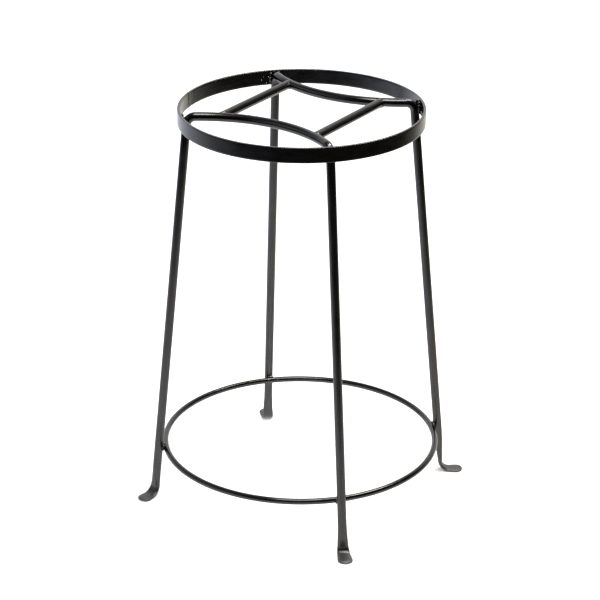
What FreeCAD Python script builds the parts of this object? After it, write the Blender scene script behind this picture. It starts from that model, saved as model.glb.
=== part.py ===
import FreeCAD, Part
import math
import os

import Sketcher
from FreeCAD import Placement, Rotation, Vector

# Round wrought-iron plant stand, in millimetres: a flat-bar hoop with a lattice of bars across it,
# four splayed legs with forged feet, and a thin ring low down that ties the legs together.
# +Z is up. The origin is on the floor under the centre of the hoop. The front is -Y.
# Each leg bar is one round bar: foot, leg, top bend, rail of the lattice, top bend, leg, foot.

SIZES = (
    ("stand_height", 520.7, "floor to the upper edge of the band"),
    ("band_outer_diameter", 304.8, "outside of the band"),
    ("band_height", 19.05, "width of the flat bar"),
    ("band_thickness", 3.175, "thickness of the flat bar"),
    ("band_edge_radius", 0.5, "rolled edge of the flat bar"),
    ("band_seam_azimuth", 193.0, "where the band is butt welded, in degrees from +X"),
    ("bar_diameter", 11.1125, "round bar of the legs, rails and crossbars"),
    ("bar_rise", 1.5, "how far the lattice stands above the band"),
    ("leg_pair_angle", 92.0, "between the two legs of one bar, seen from above, in degrees"),
    ("front_leg_splay", 2.4, "turn of a front leg away from its pair, from lattice to ring, in degrees"),
    ("rail_inset", 63.6, "axis of the stand to the middle of a rail"),
    ("top_bend_setback", 10.0, "from a top bend's corner to where the bend starts"),
    ("crossbar_offset", 67.5, "axis of the stand to a crossbar"),
    ("ring_centre_diameter", 350.6, "centreline of the tie ring"),
    ("ring_rod_diameter", 7.9375, "rod of the tie ring"),
    ("ring_height", 67.4, "floor to the centreline of the tie ring"),
    ("ring_seam_azimuth", 147.0, "where the tie ring is butt welded, in degrees from +X"),
    ("forge_length", 50.0, "length of leg that is drawn out flat above the foot's corner"),
    ("forge_shoulder", 0.1, "step in the bar where the drawing out starts"),
    ("forge_core", 4.0, "length of the foot's core that lies inside the round bar"),
    ("foot_bend_setback", 8.0, "from the foot's corner to where its bend starts"),
    ("foot_length", 28.6, "from the foot's corner to the tip of the toe"),
    ("toe_width", 19.5, "width of the toe"),
    ("toe_thickness", 3.8, "thickness of the toe"),
    ("toe_round", 8.5, "length of the toe's rounded end"),
    ("front_left_toe_turn", 44.0, "turn of this toe from straight out, in degrees"),
    ("front_right_toe_turn", -11.0, "turn of this toe from straight out, in degrees"),
    ("rear_right_toe_turn", -12.0, "turn of this toe from straight out, in degrees"),
    ("rear_left_toe_turn", -8.0, "turn of this toe from straight out, in degrees"),
    ("sole_flat", 0.35, "depth of the flat on the sole"),
    ("root_gap", 0.25, "gap that a weld fills between two bars"),
    ("butt_gap", 1.6, "gap that a weld fills between the two ends of a hoop"),
    ("butt_rise", 0.4, "how far a butt weld stands out of the hoop"),
    ("band_weld_length", 14.0, "length of a leg's weld along the band's height"),
    ("band_weld_leg", 2.6, "how far a leg's weld spreads past the bar on the band"),
    ("band_weld_depth", 4.0, "half depth of a leg's weld on the band"),
    ("ring_weld_leg", 1.2, "how far a leg's weld spreads past the bars at the tie ring"),
    ("ring_weld_depth", 3.5, "half depth of a leg's weld at the tie ring"),
    ("crossbar_weld_leg", 1.5, "how far a crossbar's weld spreads past its sides"),
    ("crossbar_weld_rise", 0.4, "how far a crossbar's weld stands above the bar"),
    ("crossbar_weld_depth", 4.2, "half depth of a crossbar's weld, on a bar of weld_bar_diameter"),
    ("weld_bar_diameter", 11.1125, "bar that the crossbar weld's depth is given for, and grows with"),
)

FRONT = 270.0
REAR = 90.0
UP = Vector(0, 0, 1)
CIRCLE_WEIGHT = math.sqrt(0.5)

doc = FreeCAD.newDocument("plant_stand")
sheet = doc.addObject("Spreadsheet::Sheet", "sizes")
for row, (alias, value, meaning) in enumerate(SIZES, start=1):
    sheet.set(f"A{row}", alias)
    sheet.set(f"B{row}", str(value))
    sheet.set(f"C{row}", meaning)
    sheet.setAlias(f"B{row}", alias)
doc.recompute()


def size(alias):
    return float(sheet.get(alias))


def bind(thing, **expressions):
    """Binds properties to expressions in the sheet's cells."""
    for name, expression in expressions.items():
        thing.setExpression(name, expression)


def add(kind, label, **properties):
    """Adds an object to the document, with its label and properties."""
    thing = doc.addObject(kind, label)
    thing.Label = label
    for name, value in properties.items():
        setattr(thing, name, value)
    return thing


def add_shape(label, shape):
    """Adds a wire or face that the features below are built on."""
    return add("Part::Feature", label, Shape=shape)


# Where the legs run. A leg is straight, and is named by its azimuth where it meets the lattice.
# Its outer side clears the band's lower inner edge, and its inner side the tie ring, by the root gap.
# The two front legs also splay sideways, so they are farther apart at the ring than at the lattice.

bar_radius = size("bar_diameter") / 2
band_inner_radius = size("band_outer_diameter") / 2 - size("band_thickness")
band_bottom = size("stand_height") - size("band_height")
ring_radius = size("ring_centre_diameter") / 2
clear_of_band = bar_radius + size("root_gap")
clear_of_ring = clear_of_band + size("ring_rod_diameter") / 2

inward_step = band_inner_radius - ring_radius
upward_step = band_bottom - size("ring_height")
lean = math.atan2(upward_step, inward_step) - math.acos(
    (clear_of_band + clear_of_ring) / math.hypot(inward_step, upward_step)
)


def leg_radius(height):
    """Radius of a leg's centreline at a height."""
    radius_at_band = band_inner_radius - clear_of_band * math.cos(lean)
    height_at_band = band_bottom - clear_of_band * math.sin(lean)
    return radius_at_band + (height_at_band - height) * math.tan(lean)


def outward(azimuth):
    return Vector(math.cos(math.radians(azimuth)), math.sin(math.radians(azimuth)), 0)


rail_height = size("stand_height") + size("bar_rise") - bar_radius


def leg_run(azimuth):
    """Where a leg's centreline meets the heights of the lattice and the tie ring."""
    splay = math.copysign(size("front_leg_splay"), azimuth - FRONT) if azimuth > 180 else 0.0
    top = outward(azimuth) * leg_radius(rail_height) + UP * rail_height
    low = outward(azimuth + splay) * leg_radius(size("ring_height")) + UP * size("ring_height")
    return top, low


def down_leg(azimuth):
    top, low = leg_run(azimuth)
    return (low - top).normalize()


def on_leg(azimuth, height):
    top, low = leg_run(azimuth)
    return top + (low - top) * ((top.z - height) / (top.z - low.z))


def azimuth_on_leg(azimuth, height):
    """Azimuth in degrees of a leg's centreline at a height."""
    point = on_leg(azimuth, height)
    return math.degrees(math.atan2(point.y, point.x))


# Where the rails run. A rail is an arc in a level plane, bowed towards the axis of the stand.
# Its radius is the one that makes it tangent to both top bends.

half_pair = math.radians(size("leg_pair_angle") / 2)
corner_side = leg_radius(rail_height) * math.sin(half_pair)
corner_out = leg_radius(rail_height) * math.cos(half_pair)
corner_past_rail = corner_out - size("rail_inset")
rail_radius = (corner_side**2 + corner_past_rail**2 - size("top_bend_setback") ** 2) / (
    2 * corner_past_rail
)
rail_centre_out = size("rail_inset") + rail_radius


def rail_out(side):
    """Distance of a rail's centreline from the crosswise middle of the stand, at a place along it."""
    return rail_centre_out - math.sqrt(rail_radius**2 - side**2)


def rounded(corner, back, onward, setback):
    """Start, middle and end of the arc that rounds a corner, between unit directions away from it."""
    half_angle = back.getAngle(onward) / 2
    bisector = (back + onward).normalize()
    arc_radius = setback * math.tan(half_angle)
    middle = corner + bisector * (setback / math.cos(half_angle) - arc_radius)
    return corner + back * setback, middle, corner + onward * setback


def leg_azimuths(side):
    half = size("leg_pair_angle") / 2
    return side - half, side + half


def foot_corner(azimuth):
    """Where the leg's centreline would meet the toe's."""
    return on_leg(azimuth, size("toe_thickness") / 2 - size("sole_flat"))


def along_toe(azimuth):
    """Direction of a leg's toe: straight out from the axis of the stand, and then its own turn."""
    row = "rear" if azimuth < 180 else "front"
    column = "left" if 90 < azimuth < 270 else "right"
    return outward(azimuth_on_leg(azimuth, 0) + size(f"{row}_{column}_toe_turn"))


def bar_centreline(side):
    """Centreline of the round part of a leg bar, from the top of one forged foot to the other."""
    rail_middle = outward(side) * size("rail_inset") + UP * rail_height
    rail_centre = outward(side) * rail_centre_out + UP * rail_height
    edges = []
    rail_ends = []
    for azimuth in leg_azimuths(side):
        corner = on_leg(azimuth, rail_height)
        from_centre = corner - rail_centre
        along_rail = math.atan(size("top_bend_setback") / rail_radius)
        turn = along_rail if from_centre.cross(rail_middle - rail_centre).z > 0 else -along_rail
        rail_end = Rotation(UP, math.degrees(turn)).multVec(from_centre)
        rail_end = rail_centre + rail_end.normalize() * rail_radius
        back = (rail_end - corner).normalize()
        points = rounded(corner, back, down_leg(azimuth), size("top_bend_setback"))
        forged_top = foot_corner(azimuth) - down_leg(azimuth) * size("forge_length")
        edges.append(Part.Arc(*points).toShape())
        edges.append(Part.LineSegment(points[2], forged_top).toShape())
        rail_ends.append(points[0])
    edges.append(Part.Arc(rail_ends[0], rail_middle, rail_ends[1]).toShape())
    return Part.Wire(Part.__sortEdges__(edges))


# The forged feet. A foot is lofted through sections across its centreline, which grow from the round
# bar to the width of the toe while they thin. Each section is four quarter curves, and their weight
# sets how square it is: at CIRCLE_WEIGHT it is an exact circle or ellipse.


def oval(centre, across, upright, width, thickness, weight):
    """Closed wire of four quarter curves about a centre."""
    reach = (
        across * (width / 2),
        upright * (thickness / 2),
        across * (-width / 2),
        upright * (-thickness / 2),
    )
    quarters = []
    for start, end in zip(reach, reach[1:] + reach[:1]):
        curve = Part.BezierCurve()
        curve.setPoles([centre + start, centre + start + end, centre + end])
        curve.setWeight(2, weight)
        quarters.append(curve.toShape())
    return Part.Wire(quarters)


def foot_stations(azimuth):
    """Centre, direction, widening, thinning and squareness of each section, from the leg to the toe."""
    corner = foot_corner(azimuth)
    down = down_leg(azimuth)
    out = along_toe(azimuth)
    setback = size("foot_bend_setback")
    bend_start, bend_middle, bend_end = rounded(corner, down * -1, out, setback)
    toe_run = size("foot_length") - setback
    halfway = (down + out).normalize()
    forged_top = corner - down * size("forge_length")
    return (
        (forged_top - down * size("forge_core"), down, 0.0, 0.0, CIRCLE_WEIGHT),
        (forged_top, down, 0.0, 0.0, CIRCLE_WEIGHT),
        (corner - down * size("forge_length") * 0.62, down, 0.09, 0.24, 0.8),
        (corner - down * size("forge_length") * 0.36, down, 0.26, 0.52, 1.0),
        (bend_start, down, 0.46, 0.76, 1.3),
        (bend_middle, halfway, 0.58, 0.88, 1.5),
        (bend_end, out, 0.7, 0.96, 1.7),
        (bend_end + out * toe_run * 0.5, out, 0.88, 1.0, 1.9),
        (bend_end + out * toe_run * 1.05, out, 1.0, 1.0, 2.0),
    )


def foot_sections(name, azimuth):
    side = UP.cross(along_toe(azimuth))
    sections = []
    drawn_diameter = size("bar_diameter") - 2 * size("forge_shoulder")
    for number, station in enumerate(foot_stations(azimuth), start=1):
        centre, direction, widening, thinning, weight = station
        across = (side - direction * side.dot(direction)).normalize()
        width = drawn_diameter + (size("toe_width") - drawn_diameter) * widening
        thickness = drawn_diameter + (size("toe_thickness") - drawn_diameter) * thinning
        wire = oval(centre, across, direction.cross(across), width, thickness, weight)
        sections.append(add_shape(f"{name}_section_{number}", wire))
    return sections


def toe_outline(azimuth):
    """Level outline round a foot: straight sides, with a rounded end at the tip of the toe."""
    out = along_toe(azimuth)
    side = UP.cross(out) * (size("toe_width") / 2 + 0.1)
    corner = foot_corner(azimuth)
    floor_corner = Vector(corner.x, corner.y, 0)
    inner = floor_corner - out * size("forge_length")
    round_start = floor_corner + out * (size("foot_length") - size("toe_round"))
    tip = out * size("toe_round")
    edges = [
        Part.LineSegment(round_start + side, inner + side).toShape(),
        Part.LineSegment(inner + side, inner - side).toShape(),
        Part.LineSegment(inner - side, round_start - side).toShape(),
    ]
    for start, end in ((side * -1, tip), (tip, side)):
        curve = Part.BezierCurve()
        curve.setPoles([round_start + start, round_start + start + end, round_start + end])
        curve.setWeight(2, CIRCLE_WEIGHT)
        edges.append(curve.toShape())
    return Part.Face(Part.Wire(Part.__sortEdges__(edges)))


def make_foot(name, azimuth):
    """Forged foot: the lofted metal, kept inside the toe's outline and above the floor."""
    metal = add(
        "Part::Loft",
        f"{name}_metal",
        Sections=foot_sections(name, azimuth),
        Solid=True,
        Ruled=False,
    )
    outline = add_shape(f"{name}_outline", toe_outline(azimuth))
    trim = add("Part::Extrusion", f"{name}_trim", Base=outline, DirMode="Custom", Dir=UP, Solid=True)
    bind(trim, LengthFwd="sizes.forge_length + sizes.bar_diameter")
    return add("Part::MultiCommon", name, Shapes=[metal, trim])


def make_leg_bar(label, side, foot_names):
    """One bar from foot to foot, with its rail of the lattice in the middle."""
    spine = add_shape(f"{label}_centreline", bar_centreline(side))
    start = spine.Shape.OrderedVertexes[0].Point
    tangent = spine.Shape.OrderedEdges[0].tangentAt(spine.Shape.OrderedEdges[0].FirstParameter)
    profile = add("Part::Circle", f"{label}_profile")
    bind(profile, Radius="sizes.bar_diameter / 2")
    profile.Placement = Placement(start, Rotation(UP, tangent))
    edge_names = [f"Edge{number}" for number in range(1, len(spine.Shape.Edges) + 1)]
    round_bar = add(
        "Part::Sweep",
        f"{label}_round",
        Sections=[profile],
        Spine=(spine, edge_names),
        Solid=True,
        Frenet=False,
    )
    feet = [make_foot(name, azimuth) for name, azimuth in zip(foot_names, leg_azimuths(side))]
    return add("Part::MultiFuse", label, Shapes=[round_bar, *feet], Refine=True)


# The hoops. Each is one bar rolled round and closed by a butt weld, which fills the gap at its seam.


def section_sketch(body, inner, outer, bottom, top):
    """Rectangle in the XZ plane, with its four sides bound to expressions."""
    sketch = body.newObject("Sketcher::SketchObject", f"{body.Name}_section")
    plane = next(item for item in body.Origin.OriginFeatures if item.Role == "XZ_Plane")
    sketch.AttachmentSupport = (plane, [""])
    sketch.MapMode = "FlatFace"
    corners = [Vector(1, 1, 0), Vector(2, 1, 0), Vector(2, 2, 0), Vector(1, 2, 0)]
    for start, end in zip(corners, corners[1:] + corners[:1]):
        sketch.addGeometry(Part.LineSegment(start, end))
    for line in range(4):
        sketch.addConstraint(Sketcher.Constraint("Coincident", line, 2, (line + 1) % 4, 1))
        direction = "Vertical" if line % 2 else "Horizontal"
        sketch.addConstraint(Sketcher.Constraint(direction, line))
    sides = (
        ("DistanceX", 0, 1, inner),
        ("DistanceX", 0, 2, outer),
        ("DistanceY", 0, 1, bottom),
        ("DistanceY", 2, 1, top),
    )
    for kind, line, end, expression in sides:
        sketch.addConstraint(Sketcher.Constraint(kind, -1, 1, line, end, 1.5))
        sketch.setExpression(f"Constraints[{sketch.ConstraintCount - 1}]", expression)
    return sketch


def revolve(body, sketch, angle):
    """Turns a section about the vertical axis."""
    turned = body.newObject("PartDesign::Revolution", f"{body.Name}_turned")
    turned.Profile = sketch
    turned.ReferenceAxis = (sketch, ["V_Axis"])
    bind(turned, Angle=angle)
    doc.recompute()
    return turned


BAND_GAP = "360 / pi * sizes.butt_gap / sizes.band_outer_diameter"
RING_GAP = "360 / pi * sizes.butt_gap / sizes.ring_centre_diameter"


def gap_angle(diameter):
    """Angle in degrees that the butt gap takes of a hoop."""
    return 360 / math.pi * size("butt_gap") / size(diameter)


def make_band():
    band = add("PartDesign::Body", "top_band")
    sketch = section_sketch(
        band,
        "sizes.band_outer_diameter / 2 - sizes.band_thickness",
        "sizes.band_outer_diameter / 2",
        "sizes.stand_height - sizes.band_height",
        "sizes.stand_height",
    )
    hoop = revolve(band, sketch, f"360 - {BAND_GAP}")
    long_edges = [
        f"Edge{number}"
        for number, edge in enumerate(hoop.Shape.Edges, start=1)
        if edge.Length > size("band_outer_diameter")
    ]
    rolled = band.newObject("PartDesign::Fillet", "rolled_edges")
    rolled.Base = (hoop, long_edges)
    bind(rolled, Radius="sizes.band_edge_radius")
    half_gap = gap_angle("band_outer_diameter") / 2
    band.Placement = Placement(Vector(), Rotation(UP, size("band_seam_azimuth") + half_gap))
    return band


def make_band_butt_weld():
    weld = add("PartDesign::Body", "band_butt_weld")
    sketch = section_sketch(
        weld,
        "sizes.band_outer_diameter / 2 - sizes.band_thickness - sizes.butt_rise",
        "sizes.band_outer_diameter / 2",
        "sizes.stand_height - sizes.band_height",
        "sizes.stand_height",
    )
    revolve(weld, sketch, BAND_GAP)
    half_gap = gap_angle("band_outer_diameter") / 2
    weld.Placement = Placement(Vector(), Rotation(UP, size("band_seam_azimuth") - half_gap))
    return weld


def make_hoop_of_rod(label, rod_radius, angle, start_azimuth):
    hoop = add("Part::Torus", label)
    bind(hoop, Radius1="sizes.ring_centre_diameter / 2", Radius2=rod_radius, Angle3=angle)
    hoop.Placement = Placement(UP * size("ring_height"), Rotation(UP, start_azimuth))
    return hoop


def make_ring():
    start = size("ring_seam_azimuth") + gap_angle("ring_centre_diameter") / 2
    return make_hoop_of_rod(
        "lower_ring", "sizes.ring_rod_diameter / 2", f"360 - {RING_GAP}", start
    )


def make_ring_butt_weld():
    start = size("ring_seam_azimuth") - gap_angle("ring_centre_diameter") / 2
    return make_hoop_of_rod(
        "ring_butt_weld", "sizes.ring_rod_diameter / 2 + sizes.butt_rise", RING_GAP, start
    )


# The crossbars are cut square and butted against the rails, so each end is shaped to its rail.


def make_crossbar(label, side, rails):
    reach = rail_out(size("crossbar_offset")) - 0.6 * bar_radius
    blank = add("Part::Cylinder", f"{label}_blank", Height=2 * reach)
    bind(blank, Radius="sizes.bar_diameter / 2")
    blank.Placement = Placement(
        Vector(side * size("crossbar_offset"), -reach, rail_height), Rotation(UP, Vector(0, 1, 0))
    )
    return cut_by(label, blank, rails)


# The welds. Each bead is an ellipsoid over the joint, less the bars that it joins.


def cut_by(label, blank, tools):
    """Cuts a blank by each tool in turn. The last cut carries the label."""
    result = blank
    for number, tool in enumerate(tools, start=1):
        name = label if number == len(tools) else f"{label}_cut_{number}"
        result = add("Part::Cut", name, Base=result, Tool=tool)
    return result


def make_bead(label, centre, azimuth, half_out, half_across, half_up, joined):
    """Weld bead at a centre: its half sizes are expressions outward, across and up."""
    out = outward(azimuth)
    blank = add("Part::Ellipsoid", f"{label}_blank")
    bind(blank, Radius1=half_out, Radius2=half_across, Radius3=half_up)
    blank.Placement = Placement(centre, Rotation(UP.cross(out), UP, out, "ZXY"))
    return cut_by(label, blank, joined)


def make_band_weld(corner, azimuth, leg_bar, band):
    """Bead between a leg and the band, at mid height of the band."""
    height = size("stand_height") - size("band_height") / 2
    here = azimuth_on_leg(azimuth, height)
    inset = size("band_weld_depth") - size("band_thickness") / 2
    centre = outward(here) * (band_inner_radius - inset) + UP * height
    return make_bead(
        f"{corner}_band_weld",
        centre,
        here,
        "sizes.band_weld_depth",
        "sizes.bar_diameter / 2 + sizes.band_weld_leg",
        "sizes.band_weld_length / 2",
        [leg_bar, band],
    )


def make_ring_weld(corner, azimuth, leg_bar, ring):
    """Bead between the inner side of a leg and the tie ring."""
    here = azimuth_on_leg(azimuth, size("ring_height"))
    middle = ring_radius + (size("ring_rod_diameter") + size("root_gap")) / 2
    centre = outward(here) * middle + UP * size("ring_height")
    return make_bead(
        f"{corner}_ring_weld",
        centre,
        here,
        "sizes.ring_weld_depth",
        "sizes.bar_diameter / 2 + sizes.ring_weld_leg",
        "sizes.ring_rod_diameter / 2 + sizes.ring_weld_leg",
        [leg_bar, ring],
    )


def make_crossbar_weld(corner, side, front, rail, crossbar):
    """Collar of weld round the end of a crossbar, against the side of its rail."""
    out = rail_out(size("crossbar_offset")) - bar_radius
    centre = Vector(side * size("crossbar_offset"), front * out, rail_height)
    return make_bead(
        f"{corner}_crossbar_weld",
        centre,
        REAR if front > 0 else FRONT,
        "sizes.crossbar_weld_depth * sizes.bar_diameter / sizes.weld_bar_diameter",
        "sizes.bar_diameter / 2 + sizes.crossbar_weld_leg",
        "sizes.bar_diameter / 2 + sizes.crossbar_weld_rise",
        [rail, crossbar],
    )


def make_pieces():
    """Every piece of the stand, each a separate solid."""
    front_bar = make_leg_bar("front_leg_bar", FRONT, ("front_left_foot", "front_right_foot"))
    rear_bar = make_leg_bar("rear_leg_bar", REAR, ("rear_right_foot", "rear_left_foot"))
    band = make_band()
    ring = make_ring()
    left_crossbar = make_crossbar("left_crossbar", -1, [front_bar, rear_bar])
    right_crossbar = make_crossbar("right_crossbar", 1, [front_bar, rear_bar])
    pieces = [front_bar, rear_bar, band, ring, left_crossbar, right_crossbar]
    pieces += [make_band_butt_weld(), make_ring_butt_weld()]
    front_left, front_right = leg_azimuths(FRONT)
    rear_right, rear_left = leg_azimuths(REAR)
    corners = (
        ("front_left", front_left, -1, -1, front_bar, left_crossbar),
        ("front_right", front_right, 1, -1, front_bar, right_crossbar),
        ("rear_right", rear_right, 1, 1, rear_bar, right_crossbar),
        ("rear_left", rear_left, -1, 1, rear_bar, left_crossbar),
    )
    for corner, azimuth, side, front, bar, crossbar in corners:
        pieces.append(make_band_weld(corner, azimuth, bar, band))
        pieces.append(make_ring_weld(corner, azimuth, bar, ring))
        pieces.append(make_crossbar_weld(corner, side, front, bar, crossbar))
    return pieces


def check_document():
    """Stops if any object failed to compute."""
    for thing in doc.Objects:
        if "Invalid" in thing.State or "Error" in thing.State:
            raise RuntimeError(f"{thing.Label} did not compute: {thing.State}")


def check_piece(piece):
    """Stops if a piece is empty or its solid is faulty."""
    if piece.Shape.isNull() or not piece.Shape.isValid() or not piece.Shape.Solids:
        raise RuntimeError(f"{piece.Label} is not a valid solid")


pieces = make_pieces()
doc.recompute()
check_document()
for piece in pieces:
    check_piece(piece)

os.makedirs("parts", exist_ok=True)
for piece in pieces:
    piece.Shape.exportStep(f"parts/{piece.Label}.step")
    print(f"{piece.Label}: {piece.Shape.Volume:.1f} mm3, {len(piece.Shape.Solids)} solid")
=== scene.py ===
import math

import bmesh
import bpy
import numpy as np
from mathutils import Matrix, Vector, noise


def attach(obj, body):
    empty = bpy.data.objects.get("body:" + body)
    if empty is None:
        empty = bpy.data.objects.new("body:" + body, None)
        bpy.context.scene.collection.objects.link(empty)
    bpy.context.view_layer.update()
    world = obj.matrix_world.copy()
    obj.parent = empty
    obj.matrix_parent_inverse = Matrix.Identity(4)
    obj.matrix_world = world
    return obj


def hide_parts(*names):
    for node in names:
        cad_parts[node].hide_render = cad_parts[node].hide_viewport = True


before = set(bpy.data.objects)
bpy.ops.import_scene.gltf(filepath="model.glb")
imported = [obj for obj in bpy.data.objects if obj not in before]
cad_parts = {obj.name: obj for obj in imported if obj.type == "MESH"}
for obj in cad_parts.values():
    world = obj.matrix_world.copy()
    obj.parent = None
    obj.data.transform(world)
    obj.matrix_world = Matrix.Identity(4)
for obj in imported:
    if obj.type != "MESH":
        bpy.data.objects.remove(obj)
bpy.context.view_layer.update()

# Looks for the wrought-iron plant stand. Shapes are worked out in millimetres in the CAD frame, +Z up,
# origin on the floor under the hoop, front at -Y, and become metres when a mesh is made. Every CAD node is
# replaced: bars by swept skins with hammered feet, welds by melted beads with spatter.

MM = 0.001
UP = np.array([0.0, 0.0, 1.0])

# Sizes, as in the CAD model.
STAND_HEIGHT = 520.7
BAND_RADIUS = 152.4
BAND_HEIGHT = 19.05
BAND_THICKNESS = 3.175
BAND_SEAM = 193.0
BAR_RADIUS = 11.1125 / 2
BAR_RISE = 1.5
LEG_PAIR_ANGLE = 92.0
FRONT_LEG_SPLAY = 2.4
RAIL_INSET = 63.6
TOP_BEND_SETBACK = 10.0
CROSSBAR_OFFSET = 67.5
RING_RADIUS = 350.6 / 2
RING_ROD_RADIUS = 7.9375 / 2
RING_HEIGHT = 67.4
RING_SEAM = 147.0
FOOT_BEND_SETBACK = 8.0
FOOT_LENGTH = 28.6
TOE_THICKNESS = 3.8
TOE_ROUND = 8.5
SOLE_FLAT = 0.35
ROOT_GAP = 0.25
BUTT_GAP = 1.6

BAND_INNER = BAND_RADIUS - BAND_THICKNESS
BAND_BOTTOM = STAND_HEIGHT - BAND_HEIGHT
RAIL_HEIGHT = STAND_HEIGHT + BAR_RISE - BAR_RADIUS
FRONT, REAR = 270.0, 90.0
AZIMUTHS = {
    "front_left": FRONT - LEG_PAIR_ANGLE / 2,
    "front_right": FRONT + LEG_PAIR_ANGLE / 2,
    "rear_right": REAR - LEG_PAIR_ANGLE / 2,
    "rear_left": REAR + LEG_PAIR_ANGLE / 2,
}
TOE_TURNS = {"front_left": 44.0, "front_right": -11.0, "rear_right": -12.0, "rear_left": -8.0}

# Two feet bend more softly than the CAD model's, as the photograph shows them.
FOOT_BEND_EASED = {"front_left": 12.5, "rear_right": 12.0}

# How finely the bars are made: points round a bar and a rod, and steps round the hoops.
AROUND_BAR = 32
AROUND_ROD = 22
BAND_STEPS = 900
RING_STEPS = 560

# A toe's round tip starts this far round, so that its first section isn't a point. A leg is finely spaced
# this far above its foot bend, and a leg bar isn't twisted this near to either of its ends.
TIP_START = math.radians(7)
FINE_ABOVE_FOOT = 62.0
TWIST_FREE = 130.0


def vec(*xyz):
    return np.array(xyz, dtype=float)


def unit(v):
    return v / np.linalg.norm(v)


def outward(azimuth):
    return vec(math.cos(math.radians(azimuth)), math.sin(math.radians(azimuth)), 0)


def polar(radius, azimuth, height):
    return outward(azimuth) * radius + UP * height


def smooth(t):
    t = np.clip(t, 0.0, 1.0)
    return t * t * (3 - 2 * t)


# Each seed reads the noise somewhere else, so that no two pieces share marks.
SEED_STEPS = (17.13, 5.71, 11.37)


def wobble(points, scale, seed):
    """Smooth noise from -1 to 1 at points in mm, with features about scale mm across."""
    shift = Vector([seed * step for step in SEED_STEPS])
    return np.array([noise.noise(Vector(p) / scale + shift) for p in points])


# Leg and rail lines, worked out as in the CAD model.

def leg_lean():
    """Angle from upright of a leg that clears both the band and the tie ring by the root gap."""
    run = BAND_INNER - RING_RADIUS
    rise = BAND_BOTTOM - RING_HEIGHT
    clear = 2 * (BAR_RADIUS + ROOT_GAP) + RING_ROD_RADIUS
    return math.atan2(rise, run) - math.acos(clear / math.hypot(run, rise))


LEAN = leg_lean()


def leg_radius(height):
    clear = BAR_RADIUS + ROOT_GAP
    top = BAND_BOTTOM - clear * math.sin(LEAN)
    return BAND_INNER - clear * math.cos(LEAN) + (top - height) * math.tan(LEAN)


def leg_run(azimuth):
    """Where a leg's centreline meets the heights of the lattice and the tie ring."""
    splay = math.copysign(FRONT_LEG_SPLAY, azimuth - FRONT) if azimuth > 180 else 0.0
    top = polar(leg_radius(RAIL_HEIGHT), azimuth, RAIL_HEIGHT)
    low = polar(leg_radius(RING_HEIGHT), azimuth + splay, RING_HEIGHT)
    return top, low


def on_leg(azimuth, height):
    top, low = leg_run(azimuth)
    return top + (low - top) * ((top[2] - height) / (top[2] - low[2]))


def down_leg(azimuth):
    top, low = leg_run(azimuth)
    return unit(low - top)


def azimuth_on_leg(azimuth, height):
    x, y, _ = on_leg(azimuth, height)
    return math.degrees(math.atan2(y, x))


def corner_at(azimuth):
    return min(AZIMUTHS, key=lambda name: abs(AZIMUTHS[name] - azimuth))


def along_toe(azimuth):
    return outward(azimuth_on_leg(azimuth, 0) + TOE_TURNS[corner_at(azimuth)])


CORNER_SIDE = leg_radius(RAIL_HEIGHT) * math.sin(math.radians(LEG_PAIR_ANGLE / 2))
CORNER_PAST = leg_radius(RAIL_HEIGHT) * math.cos(math.radians(LEG_PAIR_ANGLE / 2)) - RAIL_INSET
RAIL_RADIUS = (CORNER_SIDE**2 + CORNER_PAST**2 - TOP_BEND_SETBACK**2) / (2 * CORNER_PAST)
RAIL_CENTRE_OUT = RAIL_INSET + RAIL_RADIUS


def swing(first, last, sweep, t):
    """A direction t of the way from first to last, which are sweep apart."""
    return (math.sin((1 - t) * sweep) * first + math.sin(t * sweep) * last) / math.sin(sweep)


def fillet(corner, back, onward, setback, step):
    """Points round a corner, between unit directions that lead away from it."""
    half = math.acos(np.clip(back @ onward, -1, 1)) / 2
    radius = setback * math.tan(half)
    centre = corner + unit(back + onward) * (setback / math.cos(half))
    first = (corner + back * setback - centre) / radius
    last = (corner + onward * setback - centre) / radius
    sweep = math.pi - 2 * half
    count = max(4, int(radius * sweep / step))
    return [centre + swing(first, last, sweep, i / count) * radius for i in range(count + 1)]


def straight(start, end, step):
    count = max(1, int(np.linalg.norm(end - start) / step))
    return [start + (end - start) * i / count for i in range(count + 1)]


def join(*runs):
    """One list of points from runs that start where the last one ended."""
    points = list(runs[0])
    for run in runs[1:]:
        points += list(run)[1:]
    return np.array(points)


# Meshes. Each vertex of a bar carries where it was on the straight bar, for materials that follow it.

def make_object(name, vertices, faces, attributes=None):
    mesh = bpy.data.meshes.new(name)
    mesh.from_pydata((np.asarray(vertices) * MM).tolist(), [], faces)
    for key, values in (attributes or {}).items():
        values = np.asarray(values, dtype=np.float32)
        kind = "FLOAT_VECTOR" if values.ndim == 2 else "FLOAT"
        layer = mesh.attributes.new(key, kind, "POINT")
        layer.data.foreach_set("vector" if values.ndim == 2 else "value", values.ravel())
    mesh.polygons.foreach_set("use_smooth", [True] * len(mesh.polygons))
    mesh.update()
    thing = bpy.data.objects.new(name, mesh)
    bpy.context.collection.objects.link(thing)
    return thing


def skin(rows, around):
    """Quads between rows of vertices, each row a ring of the same number of points, with both ends capped."""
    faces = []
    for i in range(rows - 1):
        a, b = i * around, (i + 1) * around
        for j in range(around):
            k = (j + 1) % around
            faces.append((a + j, a + k, b + k, b + j))
    faces.append(tuple(range(around))[::-1])
    faces.append(tuple(range((rows - 1) * around, rows * around)))
    return faces


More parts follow.
